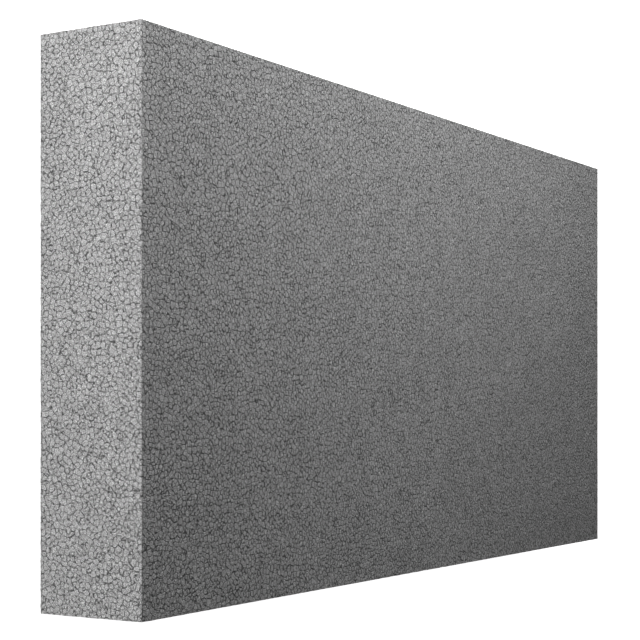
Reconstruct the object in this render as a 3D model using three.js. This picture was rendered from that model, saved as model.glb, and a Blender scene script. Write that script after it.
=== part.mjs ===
// Graphite EPS insulation board: one square-edged slab cut from a block of fused grey polystyrene beads.
// Millimetres, +Z up. The board lies flat on its back face.
// The origin is the centre of that resting face, +X runs along the length and +Y across the width.
import * as THREE from "three";

// The laying module of the board, which meets its neighbours edge to edge.
const board_length = 1000;
const board_width = 500;
const board_thickness = 110;

// The graphite in the beads gives the foam its silver grey, with a dull cut surface.
const graphite_foam = new THREE.MeshStandardMaterial({
  name: "graphite_foam",
  color: new THREE.Color(0.21, 0.21, 0.21),
  roughness: 0.85,
  metalness: 0,
});

// The slab, with all six faces flat and every edge cut square.
function make_eps_board() {
  const slab = new THREE.BoxGeometry(board_length, board_width, board_thickness);
  const board = new THREE.Mesh(slab, graphite_foam);
  board.name = "eps_board";
  board.position.z = board_thickness / 2;
  return board;
}

const insulation_board = new THREE.Group();
insulation_board.name = "insulation_board";
insulation_board.add(make_eps_board());

export default insulation_board;
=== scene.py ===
# Graphite EPS insulation board, lying flat on its back face.
# The board is one slab of fused polystyrene beads. Each cut face is a true slice through the bead packing,
# so a bead that an arris cuts shows on both faces that meet there.
import math

import bpy
import numpy as np
from mathutils import Matrix, Vector


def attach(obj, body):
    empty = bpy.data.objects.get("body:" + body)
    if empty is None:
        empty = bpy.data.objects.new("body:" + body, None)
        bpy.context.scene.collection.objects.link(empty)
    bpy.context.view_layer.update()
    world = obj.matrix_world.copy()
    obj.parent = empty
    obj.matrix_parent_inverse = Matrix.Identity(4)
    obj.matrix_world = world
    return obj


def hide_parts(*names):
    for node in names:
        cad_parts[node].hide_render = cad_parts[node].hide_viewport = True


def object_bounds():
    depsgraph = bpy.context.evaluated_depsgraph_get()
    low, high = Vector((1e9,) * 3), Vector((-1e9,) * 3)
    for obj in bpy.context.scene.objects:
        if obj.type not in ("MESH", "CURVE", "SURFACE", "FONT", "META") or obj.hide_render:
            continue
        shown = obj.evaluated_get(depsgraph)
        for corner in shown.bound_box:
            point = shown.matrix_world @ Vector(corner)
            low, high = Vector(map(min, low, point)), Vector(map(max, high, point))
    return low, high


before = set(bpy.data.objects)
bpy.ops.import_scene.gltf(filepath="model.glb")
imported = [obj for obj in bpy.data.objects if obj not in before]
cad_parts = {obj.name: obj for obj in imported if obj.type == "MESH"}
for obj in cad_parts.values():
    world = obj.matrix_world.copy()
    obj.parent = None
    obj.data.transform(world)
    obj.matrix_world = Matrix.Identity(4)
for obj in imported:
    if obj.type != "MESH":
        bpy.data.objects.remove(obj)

cad_box = [list(corner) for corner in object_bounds()]
board_low, board_high = (np.array(corner) for corner in cad_box)
board_size = board_high - board_low
board_middle = (board_low + board_high) / 2

# The beads, in metres: their spacing and radius, and the largest share by which a radius differs
bead_spacing = 0.0047
bead_radius = 0.53 * bead_spacing
bead_radius_spread = 0.238

# The packing starts as a cubic grid of cells. A bead strays in its cell, and slow waves bend the whole grid.
packing_seed = 20
packing_margin = 9
start_spread = 1.25
drift_count = 8
drift_size = 0.003
drift_wavelengths = (0.06, 0.20)
settling_rounds = 6
push_share = 0.3

# A slice: how far off the plane its bead may lie, how many cells off a neighbour may be, its shortest side
bead_reach = 1.9 * bead_spacing
neighbour_reach = 4
most_sides = 24
shortest_side = 0.00035

# The unevenness that the hot wire leaves, in metres below the cut plane
cut_depth = 0.00013
cut_least = 0.00001
cut_unevenness = 0.00010
cut_waves = 24
cut_wavelengths = (0.005, 0.012)
underside_bevel = 0.004
relief_seed = 7

# Faces are numbered 2 * axis, plus 1 on the high side, so the underside is number 4.
underside = 4
cut_faces = (0, 1, 2, 3, 5)

# Seams between the beads: the most that are drawn in one bead, and the distance that stands for no seam
seams_drawn = 9
far_from_seam = 0.004

# A seam's distances are stretched by luck, by its slope and in a small slice, which narrows the seam.
seam_narrowing = (0.6, 1.9)
least_level = 0.72
full_slice_radius = 0.0017
smallest_slice_share = 0.35

# The foam's greys, as linear red, green and blue. The dark grey serves the seams, where it is partly the
# glue line's own grey and partly painted groove shade, and the pits, where it is painted shade.
bead_grey = (0.240, 0.240, 0.240)
seam_and_pit_shade_grey = (0.02, 0.02, 0.02)

# The seams, dark partly by their own grey and partly by painted groove shade, and the painted shade in the
# pits where seams meet: widths in metres, noise in spots a metre, and where it takes hold
seam_half_width = 0.00082
seam_core = 0.00026
seam_faintest = 0.30
seam_and_groove_shade_darkness = 0.95
seam_spots = 380
seam_onset = (0.36, 0.62)
crowding_reach = 0.0006
pit_shade_crowding = (1.15, 1.65)
pit_shade_spots = 420
pit_shade_onset = (0.42, 0.62)

# The tones of the cut foam: noise in spots a metre, and the most that each adds or takes, as a share
bead_tone_share = 0.08
cloud_spots = 14
cloud_share = 0.06
mottle_spots = 1400
mottle_share = 0.80
mottle_onset = (0.25, 0.75)
# Painted highlight: bright sheen flecks, where glossy cell skins would catch the light
sheen_fleck_spots = 950
sheen_fleck_share = 0.72
sheen_fleck_onset = (0.55, 0.72)
grain_spots = 2600
grain_share = 0.60

# The glaze of the hot wire, from its shiniest bead to its dullest, and the rounded rims of the beads
roughness_range = (0.50, 0.75)
rim_width = 0.0009
rim_share = 0.5
bump_height = 0.00050

# The pattern on the underside
underside_cell = 1.02 * bead_spacing
underside_disorder = 0.85

# The view of the photograph, square to the board's width, with the lens shifted by a share of the picture
camera_place = (-1.570, -0.071, 0.940)
camera_dive = math.radians(31.54)
camera_lens = 91.5
camera_shift = 0.135

# The softboxes: place, the point that it faces, width and height in metres, and power in watts
end_softbox = ((-2.1, 2.05, 0.38), tuple(board_middle), (1.5, 1.5), 129)
side_softbox = ((0.04, 0.74, 0.76), (0.04, 0, 0), (1.2, 0.5), 12.2)

floor_half = 6.0
floor_grey = 0.82
floor_glow = 1.05
world_light = 0.02


def drift_waves(places):
    """A slow drift of each place along each axis, so that the packing keeps no straight rows: a sum of sine
    waves of random direction, length and phase."""
    random = np.random.default_rng(packing_seed + 1)
    drift = np.zeros_like(places)
    for _ in range(drift_count):
        direction = random.normal(size=3)
        turns = direction / np.linalg.norm(direction) * 2 * math.pi / random.uniform(*drift_wavelengths)
        phase = random.uniform(0, 2 * math.pi, 3)
        drift += np.sin((places @ turns)[..., None] + phase)
    return drift * (drift_size / math.sqrt(drift_count))


def settle_beads():
    """Packs beads of slightly different radii in and around the board.

    One bead starts at a random place round the middle of each cell of a cubic grid, and then drifts. In
    each round every pair of neighbours that overlap is pushed apart along the line between their centres,
    by a part of the overlap. Returns the grid of centres and the grid of radii.
    """
    random = np.random.default_rng(packing_seed)
    cells = np.ceil(board_size / bead_spacing).astype(int) + 2 * packing_margin
    corner = board_middle - cells * bead_spacing / 2
    place = np.stack(np.meshgrid(*[np.arange(n) for n in cells], indexing="ij"), axis=-1)
    stray = start_spread * random.uniform(-0.5, 0.5, place.shape)
    centres = corner + (place + 0.5 + stray) * bead_spacing
    centres = centres + drift_waves(centres)
    radii = bead_radius * (1 + bead_radius_spread * random.uniform(-1, 1, cells))
    steps = [(i, j, k) for i in (-1, 0, 1) for j in (-1, 0, 1) for k in (-1, 0, 1) if (i, j, k) > (0, 0, 0)]
    for _ in range(settling_rounds):
        push = np.zeros_like(centres)
        for step in steps:
            apart = np.roll(centres, step, axis=(0, 1, 2)) - centres
            distance = np.linalg.norm(apart, axis=-1)
            overlap = np.maximum(radii + np.roll(radii, step, axis=(0, 1, 2)) - distance, 0)
            shove = apart * (push_share * overlap / distance)[..., None]
            push -= shove
            push += np.roll(shove, [-s for s in step], axis=(0, 1, 2))
        centres += push
    return centres, radii


def face_axes(face):
    """The face's normal axis and its two in-plane axes, which turn anticlockwise seen from outside."""
    axis, high = divmod(face, 2)
    across, along = (axis + 1) % 3, (axis + 2) % 3
    return (axis, across, along) if high else (axis, along, across)


def clip(points, tags, count, normal, offset, tag):
    """Cuts convex polygons, one a row, to the side where normal . point <= offset.

    The points past the line are one run of each ring. The ring is turned so that its first kept point comes
    first, the run is dropped, and the two crossings take its place. tags name what bounds each side, and the
    side between the crossings gets the new tag. The rings change in place. Returns which rows keep points.
    """
    slots = np.arange(points.shape[1])
    side = np.einsum("nmk,nk->nm", points, normal) - offset[:, None]
    inside = (side <= 0) & (slots < count[:, None])
    kept = inside.sum(axis=1)
    alive = kept > 0
    rows = np.flatnonzero(alive & (kept < count))
    ring, size, keep = inside[rows], count[rows], kept[rows]
    previous = np.take_along_axis(ring, (slots - 1) % size[:, None], axis=1)
    start = np.argmax(ring & ~previous, axis=1)
    order = (start[:, None] + slots) % size[:, None]
    at = np.take_along_axis(points[rows], order[..., None], axis=1)
    off = np.take_along_axis(side[rows], order, axis=1)
    by = np.take_along_axis(tags[rows], order, axis=1)
    row = np.arange(len(rows))

    def crossing(inner, outer):
        share = off[row, inner] / (off[row, inner] - off[row, outer])
        return at[row, inner] + (at[row, outer] - at[row, inner]) * share[:, None]

    leaving, entering = crossing(keep - 1, keep), crossing(0 * row, size - 1)
    entering_tag = by[row, size - 1]
    at[row, keep], by[row, keep] = leaving, tag[rows]
    at[row, keep + 1], by[row, keep + 1] = entering, entering_tag
    points[rows], tags[rows], count[rows] = at, by, keep + 2
    return alive


def slice_beads(centres, radii, face):
    """The outlines that the beads show on one face: a power diagram of the spheres that the plane meets.

    Each bead starts with the whole face. Every neighbour then cuts it along the line where the two spheres
    have equal power: |p - a|^2 - (ra^2 - ha^2) = |p - b|^2 - (rb^2 - hb^2), with h the height over the plane.
    A side's tag is the number of the bead beyond it, or -1 minus the number of the face beyond it. Returns
    the beads' numbers, their outlines in the plane, the sides' tags and each outline's count of corners.
    """
    axis, across, along = face_axes(face)
    height = centres[..., axis] - (board_high if face % 2 else board_low)[axis]
    weight = (radii**2 - height**2).ravel()
    flat = centres[..., (across, along)].reshape(-1, 2)
    low, high = board_low[[across, along]], board_high[[across, along]]
    near = (np.abs(height) < bead_reach).ravel()
    near &= np.all((flat > low - bead_reach) & (flat < high + bead_reach), axis=1)
    bead = np.flatnonzero(near)
    most_apart = neighbour_reach**2 + 3
    corners = np.array([low, (high[0], low[1]), high, (low[0], high[1])])
    points = np.zeros((len(bead), most_sides, 2))
    points[:, :4] = corners
    tags = np.zeros((len(bead), most_sides), dtype=np.int64)
    tags[:, :4] = [-1 - 2 * along, -2 - 2 * across, -2 - 2 * along, -1 - 2 * across]
    count = np.full(len(bead), 4)
    rows, columns, layers = centres.shape[:3]
    reach = range(-neighbour_reach, neighbour_reach + 1)
    steps = [(i * i + j * j + k * k, i, j, k) for i in reach for j in reach for k in reach]
    for _, i, j, k in sorted(step for step in steps if 0 < step[0] <= most_apart):
        other = bead + (i * columns + j) * layers + k
        normal = 2 * (flat[other] - flat[bead])
        offset = (flat[other] ** 2).sum(1) - (flat[bead] ** 2).sum(1) - weight[other] + weight[bead]
        alive = clip(points, tags, count, normal, offset, other)
        bead, points, tags, count = bead[alive], points[alive], tags[alive], count[alive]
    return bead, points, tags, count


def name_corners(face, bead, points, tags, count):
    """Lists the corners of one face's outlines, one row a corner, with the side that starts there.

    A corner's name is the sorted numbers of the beads that meet there and one bit for each face that it lies
    on, so it has the same name in every outline and on both sides of an arris.
    """
    axis, across, along = face_axes(face)
    slots = np.arange(points.shape[1])
    used = slots < count[:, None]
    before = np.take_along_axis(tags, (slots - 1) % count[:, None], axis=1)[used]
    beyond = tags[used]
    outline = np.broadcast_to(np.arange(len(bead))[:, None], tags.shape)[used]
    beads = np.sort(np.stack([bead[outline], np.maximum(before, -1), np.maximum(beyond, -1)], axis=1), axis=1)
    faces = np.full(len(beads), 1 << face)
    for tag in (before, beyond):
        faces |= np.where(tag < 0, 1 << np.maximum(-1 - tag, 0), 0)
    place = np.full((len(beads), 3), (board_high if face % 2 else board_low)[axis])
    place[:, (across, along)] = points[used]
    return {
        "face": np.full(len(beads), face), "outline": outline, "bead": bead[outline], "beyond": beyond,
        "name": np.column_stack([beads, faces]), "place": place,
    }


def join_faces(tables):
    """Puts the rows of all faces into one table, with the outlines numbered through."""
    first = np.cumsum([0] + [table["outline"][-1] + 1 for table in tables])
    for table, start in zip(tables, first):
        table["outline"] = table["outline"] + start
    return {key: np.concatenate([table[key] for table in tables]) for key in tables[0]}


def following_row(outline):
    """For each row, the next row of the same outline's ring, where an outline's rows are one run."""
    first = np.flatnonzero(np.diff(outline, prepend=-1))
    last = np.append(first[1:], len(outline)) - 1
    following = np.arange(len(outline)) + 1
    following[last] = first
    return following


def weld(corners, faces, start, end):
    """Joins the two corners of each very short side that is the shortest one at both of its ends.

    A pair on the same faces meets halfway. Where one corner lies on more faces, as on an arris, the other
    joins it there. Returns the number that each corner goes by from now on, and the corners' new places.
    """
    length = np.linalg.norm(corners[start] - corners[end], axis=1)
    shortest = np.full(len(corners), np.inf)
    np.minimum.at(shortest, start, length)
    np.minimum.at(shortest, end, length)
    joined = (length < shortest_side) & (length <= shortest[start]) & (length <= shortest[end])
    joined &= (faces[start] & faces[end]) == faces[end]
    stays, goes = start[joined], end[joined]
    alike = faces[stays] == faces[goes]
    first = ~alike | (stays < goes)
    stays, goes, alike = stays[first], goes[first], alike[first]
    number = np.arange(len(corners))
    number[goes] = stays
    places = corners.copy()
    places[stays[alike]] = (corners[stays] + corners[goes])[alike] / 2
    return number, places


def inward(faces):
    """For each set of faces, given as bits, the sum of their inward directions."""
    bits = (faces[:, None] >> np.arange(6)) & 1
    return np.stack([bits[:, 2 * axis] - bits[:, 2 * axis + 1] for axis in range(3)], axis=1).astype(float)


def cut_relief(places):
    """How far the cut lies below its plane at each place: a sum of sine waves of random direction and phase,
    with two standard deviations of it as the unevenness."""
    random = np.random.default_rng(relief_seed)
    direction = random.normal(size=(cut_waves, 3))
    direction /= np.linalg.norm(direction, axis=1)[:, None]
    turns = direction * (2 * math.pi / random.uniform(*cut_wavelengths, cut_waves))[:, None]
    phase = random.uniform(0, 2 * math.pi, cut_waves)
    height = np.sin(places @ turns.T + phase).sum(axis=1) / math.sqrt(cut_waves / 2)
    return np.maximum(cut_depth + cut_unevenness * height / 2, cut_least)


def underside_fan(corners, lying):
    """Closes the slab below: a bevel strip from the ring of corners on the lower arrises to a flat ring, and
    a fan from that ring to the middle. The corners' ring runs anticlockwise, seen from above, by its angle.
    Returns the new corners and the triangles.
    """
    ring = np.flatnonzero(lying)
    around = (corners[ring] - board_middle)[:, :2] / board_size[:2]
    ring = ring[np.argsort(np.arctan2(around[:, 1], around[:, 0]))]
    inner = corners[ring] - board_middle
    inner[:, :2] *= 1 - 2 * underside_bevel / board_size[:2]
    inner += board_middle
    inner[:, 2] = board_low[2]
    centre = np.array([[board_middle[0], board_middle[1], board_low[2]]])
    ring_next = np.roll(ring, -1)
    low = len(corners) + np.arange(len(ring))
    low_next = np.roll(low, -1)
    centre_row = np.full(len(ring), len(corners) + len(ring))
    triangles = np.concatenate([
        np.column_stack([ring_next, ring, low]),
        np.column_stack([ring_next, low, low_next]),
        np.column_stack([low_next, low, centre_row]),
    ])
    return np.concatenate([inner, centre]), triangles


def slice_shares(outline, corners):
    """Each outline's size against a full slice's: the radius of a circle of its area over the full radius,
    within limits."""
    twice = np.linalg.norm(np.cross(corners[:, 1] - corners[:, 0], corners[:, 2] - corners[:, 0]), axis=1)
    radius = np.sqrt(np.bincount(outline, twice / 2) / math.pi)
    return np.clip(radius / full_slice_radius, smallest_slice_share, 1)


def seam_distances(rows, places, centres, outline, where):
    """How far each triangle corner lies from the seams round its bead, one column a seam.

    A place's distance from a side's line is its way from the side's start along the square to the side. It is
    shortened by the slope of the glue line between the two beads, which is as steep as the line between their
    centres is level, down to a least level, and stretched by the seam's own random number. The longest sides
    come first. A side on an arris has no seam.
    """
    random = np.random.default_rng(relief_seed + 1)
    luck = random.uniform(0, 1, len(centres))
    start = places[rows["vertex"]]
    side = places[rows["vertex"][rows["following"]]] - start
    length = np.linalg.norm(side, axis=1)
    out = -inward(1 << rows["face"])
    square = np.cross(out, side / length[:, None])
    apart = centres[np.maximum(rows["beyond"], 0)] - centres[rows["bead"]]
    level = np.linalg.norm(np.cross(apart, out), axis=1) / np.linalg.norm(apart, axis=1)
    share = (luck[rows["bead"]] + luck[np.maximum(rows["beyond"], 0)]) % 1
    least, most = seam_narrowing
    stretch = np.maximum(level, least_level) * (least + (most - least) * share)
    edge = rows["beyond"] < 0
    scale = square * np.where(edge, 0, stretch)[:, None]
    offset = np.where(edge, far_from_seam, -(start * scale).sum(axis=1))

    ranked = np.lexsort([np.where(edge, 0, -length), rows["outline"]])
    slot = np.arange(len(ranked)) - rows["first"]
    drawn = slot < seams_drawn
    lines = np.zeros((rows["outline"][-1] + 1, seams_drawn, 3))
    offsets = np.full(lines.shape[:2], far_from_seam)
    lines[rows["outline"][drawn], slot[drawn]] = scale[ranked][drawn]
    offsets[rows["outline"][drawn], slot[drawn]] = offset[ranked][drawn]
    return np.einsum("nsk,nk->ns", lines[outline], where) + offsets[outline]


def unfold(places, faces):
    """Lays the six faces out flat in the unit square, at one scale and a gap apart, from places in metres."""
    length, width, thickness = board_size
    gap = 0.008
    upper = 2 * (width + gap)
    starts = {
        5: (0, 0), 4: (0, width + gap), 2: (0, upper), 3: (0, upper + thickness + gap),
        0: (length + gap, 0), 1: (length + gap, width + gap),
    }
    start = np.array([starts[face] for face in range(6)])
    sideways = np.array([2, 2, 0, 0, 0, 0])
    upwards = np.array([1, 1, 2, 2, 1, 1])
    flat = places - board_low
    rows = np.arange(len(places))
    drawn = np.stack([flat[rows, sideways[faces]], flat[rows, upwards[faces]]], axis=1) + start[faces]
    return (drawn + gap) / (upper + 2 * thickness + 3 * gap)


def tidy_rings(rows, faces):
    """Drops sides that the weld closed up, corners where fewer than three slices meet and outlines with fewer
    than three sides, until none is left. The underside counts as a slice."""
    while True:
        outline, vertex = rows["outline"], rows["vertex"]
        closed = vertex == vertex[following_row(outline)]
        meeting = np.bincount(vertex, minlength=len(faces)) + ((faces >> underside) & 1)
        keep = ~closed & (meeting[vertex] > 2) & (np.bincount(outline)[outline] > 2)
        if keep.all():
            return rows
        rows = {key: column[keep] for key, column in rows.items()}
        rows["outline"] = np.unique(rows["outline"], return_inverse=True)[1].ravel()


def board_slices(grid, radii):
    """The outlines of the beads on the five faces that show, with the corners that they share.

    Returns the outlines' sides, one a row, the corners' places, and each corner's faces, as bits.
    """
    rows = join_faces([name_corners(face, *slice_beads(grid, radii, face)) for face in cut_faces])
    names, first, vertex = np.unique(rows.pop("name"), axis=0, return_index=True, return_inverse=True)
    vertex = vertex.ravel()
    corners = rows.pop("place")[first]
    faces = names[:, 3]
    number, corners = weld(corners, faces, vertex, vertex[following_row(rows["outline"])])
    rows["vertex"] = number[vertex]
    rows = tidy_rings(rows, faces)
    kept, vertex = np.unique(rows["vertex"], return_inverse=True)
    rows["vertex"] = vertex.ravel()
    rows["following"] = following_row(rows["outline"])
    rows["first"] = np.flatnonzero(np.diff(rows["outline"], prepend=-1))[rows["outline"]]
    return rows, corners[kept], faces[kept]


def sharpen_borders(mesh, rows):
    """Makes the sides between slices sharp, so that each slice shades by itself."""
    borders = np.sort(np.column_stack([rows["vertex"], rows["vertex"][rows["following"]]]), axis=1)
    ends = np.empty(2 * len(mesh.edges), dtype=np.int32)
    mesh.edges.foreach_get("vertices", ends)
    ends = np.sort(ends.reshape(-1, 2), axis=1).astype(np.int64)
    many = len(mesh.vertices)
    sharp = np.isin(ends[:, 0] * many + ends[:, 1], borders[:, 0] * many + borders[:, 1])
    mesh.attributes.new("sharp_edge", "BOOLEAN", "EDGE").data.foreach_set("value", sharp)


def store_marks(mesh, rows, fans, corners, centres):
    """Puts what the material reads into the mesh.

    Each triangle corner gets its distances from the seams, three to a vector. Each triangle gets its bead's
    tone and glaze, which are random from 0 to 1, and a 1 that says that it is a slice. The underside's
    triangles come last and get plain values.
    """
    outline = rows["outline"][fans[:, 1]]
    plain = len(mesh.polygons) - len(fans)
    where = corners[rows["vertex"][fans.ravel()]]
    distances = seam_distances(rows, corners, centres, np.repeat(outline, 3), where)
    distances /= np.repeat(slice_shares(outline, where.reshape(-1, 3, 3))[outline], 3)[:, None]
    distances = np.concatenate([distances, np.full((3 * plain, seams_drawn), far_from_seam)])
    for number in range(seams_drawn // 3):
        seams = mesh.attributes.new("seams_%d" % (number + 1), "FLOAT_VECTOR", "CORNER")
        seams.data.foreach_set("vector", distances[:, 3 * number: 3 * number + 3].ravel())

    luck = np.random.default_rng(relief_seed + 2).uniform(0, 1, (len(centres), 2))
    bead = np.column_stack([luck[rows["bead"][fans[:, 1]]], np.ones(len(fans))])
    bead = np.concatenate([bead, np.zeros((plain, 3))])
    mesh.attributes.new("bead", "FLOAT_VECTOR", "FACE").data.foreach_set("vector", bead.ravel())


def make_board():
    """The slab as one closed mesh: the bead slices on the five faces that show, and a flat underside.

    Each slice is cut into the triangles between its first corner and its other sides.
    """
    grid, radii = settle_beads()
    rows, corners, faces = board_slices(grid, radii)
    row = np.arange(len(rows["first"]))
    inner = (row != rows["first"]) & (rows["following"] != rows["first"])
    fans = np.column_stack([rows["first"], row, rows["following"]])[inner]
    extra, below = underside_fan(corners, (faces >> underside) & 1 == 1)
    triangles = np.concatenate([rows["vertex"][fans], below])
    face = np.concatenate([rows["face"][inner], np.full(len(below), underside)])
    flat = np.concatenate([corners, extra])
    place = flat.copy()
    place[: len(corners)] += inward(faces) * cut_relief(corners)[:, None]

    mesh = bpy.data.meshes.new("eps_board_beads")
    mesh.from_pydata(place, [], triangles)
    mesh.shade_smooth()
    sharpen_borders(mesh, rows)
    store_marks(mesh, rows, fans, corners, grid.reshape(-1, 3))
    layout = mesh.uv_layers.new(name="OFBake")
    layout.uv.foreach_set("vector", unfold(flat[triangles.ravel()], np.repeat(face, 3)).ravel())
    board = bpy.data.objects.new("eps_board_beads", mesh)
    bpy.context.scene.collection.objects.link(board)
    return board


def group_of(name, inputs, outputs):
    """A new shader node group. Inputs are (name, kind) pairs and outputs are names of floats.

    Returns the group, the sockets that its inputs give inside it, and the sockets that take its outputs.
    """
    tree = bpy.data.node_groups.new(name, "ShaderNodeTree")
    for label, kind in inputs:
        tree.interface.new_socket(label, in_out="INPUT", socket_type="NodeSocket" + kind)
    for label in outputs:
        tree.interface.new_socket(label, in_out="OUTPUT", socket_type="NodeSocketFloat")
    return tree, tree.nodes.new("NodeGroupInput").outputs, tree.nodes.new("NodeGroupOutput").inputs


def feed(tree, socket, value):
    """Links a socket to another, or sets it to a plain value."""
    if isinstance(value, bpy.types.NodeSocket):
        tree.links.new(value, socket)
    else:
        socket.default_value = value


def work_out(tree, operation, *values):
    """A Math node's result."""
    node = tree.nodes.new("ShaderNodeMath")
    node.operation = operation
    for socket, value in zip(node.inputs, values):
        feed(tree, socket, value)
    return node.outputs[0]


def work_out_vector(tree, operation, *values):
    """A Vector Math node's result, which is a number for a dot product."""
    node = tree.nodes.new("ShaderNodeVectorMath")
    node.operation = operation
    for socket, value in zip(node.inputs, values):
        feed(tree, socket, value)
    return node.outputs["Value" if operation == "DOT_PRODUCT" else "Vector"]


def parts_of(tree, vector):
    """A vector's three numbers."""
    node = tree.nodes.new("ShaderNodeSeparateXYZ")
    tree.links.new(vector, node.inputs[0])
    return node.outputs


def ease(tree, value, start, end, low=0.0, high=1.0):
    """A smooth step of the value, from low at start to high at end."""
    node = tree.nodes.new("ShaderNodeMapRange")
    node.interpolation_type = "SMOOTHSTEP"
    settings = {"Value": value, "From Min": start, "From Max": end, "To Min": low, "To Max": high}
    for label, number in settings.items():
        feed(tree, node.inputs[label], number)
    return node.outputs["Result"]


def spread(tree, value, share):
    """A number near 1 from a number near 0.5, at most the share above or below."""
    return work_out(tree, "MULTIPLY_ADD", value, 2 * share, 1 - share)


def scatter(tree, scale, detail=2.0):
    """Noise on Object coordinates, at a scale in spots per metre."""
    place = tree.nodes.new("ShaderNodeTexCoord")
    noise = tree.nodes.new("ShaderNodeTexNoise")
    tree.links.new(place.outputs["Object"], noise.inputs["Vector"])
    noise.inputs["Scale"].default_value = scale
    noise.inputs["Detail"].default_value = detail
    return noise.outputs["Fac"]


def attribute(tree, name):
    """One of the mesh's own vectors."""
    node = tree.nodes.new("ShaderNodeAttribute")
    node.attribute_name = name
    return node.outputs["Vector"]


def nearest_seam_group():
    """The distance from the nearest of nine seams, and how many seams are close, from three sets of three.

    The crowding is the sum over the seams of 1 - distance / reach, where that is over 0.
    """
    inputs = [("Seams %d" % (number + 1), "Vector") for number in range(3)]
    tree, given, result = group_of("nearest_seam", inputs, ("Distance", "Crowding"))
    sets = [work_out_vector(tree, "ABSOLUTE", given[label]) for label, _ in inputs]
    least = work_out_vector(tree, "MINIMUM", work_out_vector(tree, "MINIMUM", sets[0], sets[1]), sets[2])
    parts = parts_of(tree, least)
    nearest = work_out(tree, "MINIMUM", work_out(tree, "MINIMUM", parts[0], parts[1]), parts[2])
    tree.links.new(nearest, result["Distance"])
    crowding = 0.0
    for distances in sets:
        closer = (-1 / crowding_reach,) * 3
        scaled = work_out_vector(tree, "MULTIPLY_ADD", distances, closer, (1.0, 1.0, 1.0))
        close = work_out_vector(tree, "MAXIMUM", scaled, (0.0, 0.0, 0.0))
        total = work_out_vector(tree, "DOT_PRODUCT", close, (1.0, 1.0, 1.0))
        crowding = work_out(tree, "ADD", total, crowding)
    tree.links.new(crowding, result["Crowding"])
    return tree


def seam_and_pit_shade_group():
    """Dark seams, partly their own darker grey and partly painted shade of the grooves, painted shade in the
    pits where seams meet, and the rounded rim of each bead, from distances in metres.

    A seam is darkest on its line and fades out to its half width. Noise makes some stretches dark and leaves
    others faint. A pit's painted shade opens where more than one seam is close and its own noise is high.
    """
    inputs = [("Distance", "Float"), ("Crowding", "Float")]
    tree, given, result = group_of("seam_and_pit_shade_marks", inputs, ("Seam", "Pit Shade", "Rim"))
    # The seam's dark line: partly the glue line's own darker grey, partly painted shade of the groove
    near = ease(tree, given["Distance"], seam_core, seam_half_width, 1.0, 0.0)
    strength = ease(tree, scatter(tree, seam_spots), *seam_onset, seam_faintest, 1.0)
    tree.links.new(work_out(tree, "MULTIPLY", near, strength), result["Seam"])
    # Painted shade in the pits where seams meet
    crowded = ease(tree, given["Crowding"], *pit_shade_crowding)
    open_spots = ease(tree, scatter(tree, pit_shade_spots, 1.0), *pit_shade_onset)
    tree.links.new(work_out(tree, "MULTIPLY", crowded, open_spots), result["Pit Shade"])
    tree.links.new(ease(tree, given["Distance"], 0.0, rim_width), result["Rim"])
    return tree


def underside_slices_group():
    """Bead outlines for the face that the board lies on, where the mesh is flat: a slice of Voronoi cells."""
    tree, _, result = group_of("underside_slices", (), ("Distance", "Tone"))
    place = tree.nodes.new("ShaderNodeTexCoord").outputs["Object"]
    cells_per_metre = 1 / underside_cell
    edges = tree.nodes.new("ShaderNodeTexVoronoi")
    edges.feature = "DISTANCE_TO_EDGE"
    colours = tree.nodes.new("ShaderNodeTexVoronoi")
    for voronoi in (edges, colours):
        voronoi.inputs["Scale"].default_value = cells_per_metre
        voronoi.inputs["Randomness"].default_value = underside_disorder
        tree.links.new(place, voronoi.inputs["Vector"])
    tree.links.new(work_out(tree, "DIVIDE", edges.outputs["Distance"], cells_per_metre), result["Distance"])
    tree.links.new(parts_of(tree, colours.outputs["Color"])[0], result["Tone"])
    return tree


def place_group(tree, group, **values):
    """Puts a node group into a tree and feeds its inputs, named with underscores for spaces. Returns its
    outputs."""
    node = tree.nodes.new("ShaderNodeGroup")
    node.node_tree = group
    for label, value in values.items():
        feed(tree, node.inputs[label.replace("_", " ").title()], value)
    return node.outputs


def mix_grey(tree, factor, one, other):
    """A mix of two colours or colour sockets, which may go past either of them."""
    node = tree.nodes.new("ShaderNodeMix")
    node.data_type = "RGBA"
    node.clamp_factor = False
    feed(tree, node.inputs["Factor"], factor)
    feed(tree, node.inputs["A"], one)
    feed(tree, node.inputs["B"], other)
    return node.outputs["Result"]


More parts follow.
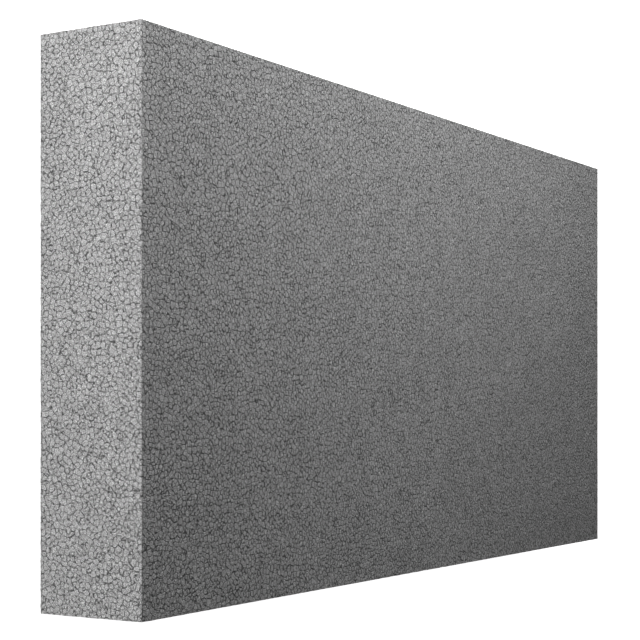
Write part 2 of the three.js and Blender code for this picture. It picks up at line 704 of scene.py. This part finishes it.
def graphite_foam():
    """Cut graphite foam: silver-grey bead slices with a mottled cut, a painted sheen of bright flecks, dark
    seams that are partly painted groove shade, and painted shade in the pits.

    The bead grey is multiplied by the bead's own tone, by broad clouds, by the mottle and grain of the cut
    foam cells and by bright flecks that are a painted sheen. Seams, partly their own darker grey and partly
    painted groove shade, and the painted shade in the pits then darken it, and are dull. The bump is the
    rounded rim of each bead and the same mottle.
    """
    material = bpy.data.materials.new("graphite_foam")
    material.use_nodes = True
    tree = material.node_tree
    shader = tree.nodes["Principled BSDF"]

    bead = parts_of(tree, attribute(tree, "bead"))
    sliced = bead["Z"]
    below = place_group(tree, underside_slices_group())
    seams = {"seams_%d" % number: attribute(tree, "seams_%d" % number) for number in (1, 2, 3)}
    nearest = place_group(tree, nearest_seam_group(), **seams)

    def either(under, cut):
        """The first value on the underside and the second on the slices."""
        node = tree.nodes.new("ShaderNodeMix")
        feed(tree, node.inputs["Factor"], sliced)
        feed(tree, node.inputs["A"], under)
        feed(tree, node.inputs["B"], cut)
        return node.outputs["Result"]

    marks = place_group(
        tree, seam_and_pit_shade_group(),
        distance=either(below["Distance"], nearest["Distance"]),
        crowding=either(0.0, nearest["Crowding"]),
    )
    tone = either(below["Tone"], bead["X"])
    mottle = scatter(tree, mottle_spots, 1.0)
    grain = scatter(tree, grain_spots, 1.0)
    light = spread(tree, tone, bead_tone_share)
    light = work_out(tree, "MULTIPLY", light, spread(tree, scatter(tree, cloud_spots), cloud_share))
    light = work_out(tree, "MULTIPLY", light, spread(tree, ease(tree, mottle, *mottle_onset), mottle_share))
    light = work_out(tree, "MULTIPLY", light, spread(tree, grain, grain_share))
    # Painted highlight: sparse bright sheen flecks that lighten the colour
    sheen_fleck = ease(tree, scatter(tree, sheen_fleck_spots, 1.0), *sheen_fleck_onset, 1.0, 1 + sheen_fleck_share)
    light = work_out(tree, "MULTIPLY", light, sheen_fleck)
    face_grey = mix_grey(tree, light, (0, 0, 0, 1), (*bead_grey, 1))
    # Seams darken partly by their own grey and partly as painted groove shade; pits darken as painted shade
    dark = work_out(tree, "MAXIMUM", work_out(tree, "MULTIPLY", marks["Seam"], seam_and_groove_shade_darkness), marks["Pit Shade"])
    tree.links.new(mix_grey(tree, dark, face_grey, (*seam_and_pit_shade_grey, 1)), shader.inputs["Base Color"])
    shiniest, dullest = roughness_range
    glaze = work_out(tree, "MULTIPLY_ADD", either(0.5, bead["Y"]), dullest - shiniest, shiniest)
    feed(tree, shader.inputs["Roughness"], work_out(tree, "MAXIMUM", glaze, dark))

    uneven = work_out(tree, "MULTIPLY", mottle, 1 - rim_share)
    height = work_out(tree, "MULTIPLY_ADD", marks["Rim"], rim_share, uneven)
    bump = tree.nodes.new("ShaderNodeBump")
    bump.inputs["Distance"].default_value = bump_height
    bump.inputs["Strength"].default_value = 1.0
    tree.links.new(height, bump.inputs["Height"])
    tree.links.new(bump.outputs["Normal"], shader.inputs["Normal"])
    return material


def make_floor():
    """A wide, flat, pale studio floor that the board lies on, and that glows as if lit from all sides."""
    corners = [(floor_half * x, floor_half * y, 0) for x, y in ((-1, -1), (1, -1), (1, 1), (-1, 1))]
    mesh = bpy.data.meshes.new("floor")
    mesh.from_pydata(corners, [], [(0, 1, 2, 3)])
    floor = bpy.data.objects.new("floor", mesh)
    bpy.context.scene.collection.objects.link(floor)
    material = bpy.data.materials.new("pale_floor")
    material.use_nodes = True
    shader = material.node_tree.nodes["Principled BSDF"]
    shader.inputs["Base Color"].default_value = (floor_grey, floor_grey, floor_grey, 1)
    shader.inputs["Roughness"].default_value = 0.9
    shader.inputs["Emission Color"].default_value = (1, 1, 1, 1)
    shader.inputs["Emission Strength"].default_value = floor_glow
    mesh.materials.append(material)


def softbox(name, place, aim, size, power):
    """An area light, so wide and so high, that faces the point it aims at and doesn't show in the picture."""
    lamp = bpy.data.lights.new(name, "AREA")
    lamp.shape = "RECTANGLE"
    lamp.size, lamp.size_y = size
    lamp.energy = power
    light = bpy.data.objects.new(name, lamp)
    light.location = place
    light.rotation_euler = (Vector(aim) - Vector(place)).to_track_quat("-Z", "Y").to_euler()
    light.visible_camera = False
    bpy.context.scene.collection.objects.link(light)


def light_studio():
    """A long softbox over the edge that the photograph shows uppermost, a softbox for the near end, and a
    surround that looks white and gives only a little fill."""
    softbox("end_softbox", *end_softbox)
    softbox("side_softbox", *side_softbox)
    world = bpy.data.worlds.new("studio")
    world.use_nodes = True
    tree = world.node_tree
    background = tree.nodes["Background"]
    background.inputs["Color"].default_value = (1, 1, 1, 1)
    seen = tree.nodes.new("ShaderNodeLightPath").outputs["Is Camera Ray"]
    feed(tree, background.inputs["Strength"], work_out(tree, "MAXIMUM", seen, world_light))
    scene = bpy.context.scene
    scene.world = world
    scene.view_settings.view_transform = "Standard"


def set_camera():
    """The photograph's view. Its up is the board's width, because the board stands on a long edge there."""
    camera = bpy.data.cameras.new("camera")
    camera.lens = camera_lens
    camera.shift_y = camera_shift
    holder = bpy.data.objects.new("camera", camera)
    right = Vector((math.sin(camera_dive), 0, math.cos(camera_dive)))
    up = Vector((0, 1, 0))
    turn = Matrix((right, up, right.cross(up))).transposed()
    holder.matrix_world = Matrix.Translation(camera_place) @ turn.to_4x4()
    bpy.context.scene.collection.objects.link(holder)
    bpy.context.scene.camera = holder


board = make_board()
board.data.materials.append(graphite_foam())
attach(board, "root")
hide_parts("eps_board")
make_floor()
light_studio()
set_camera()
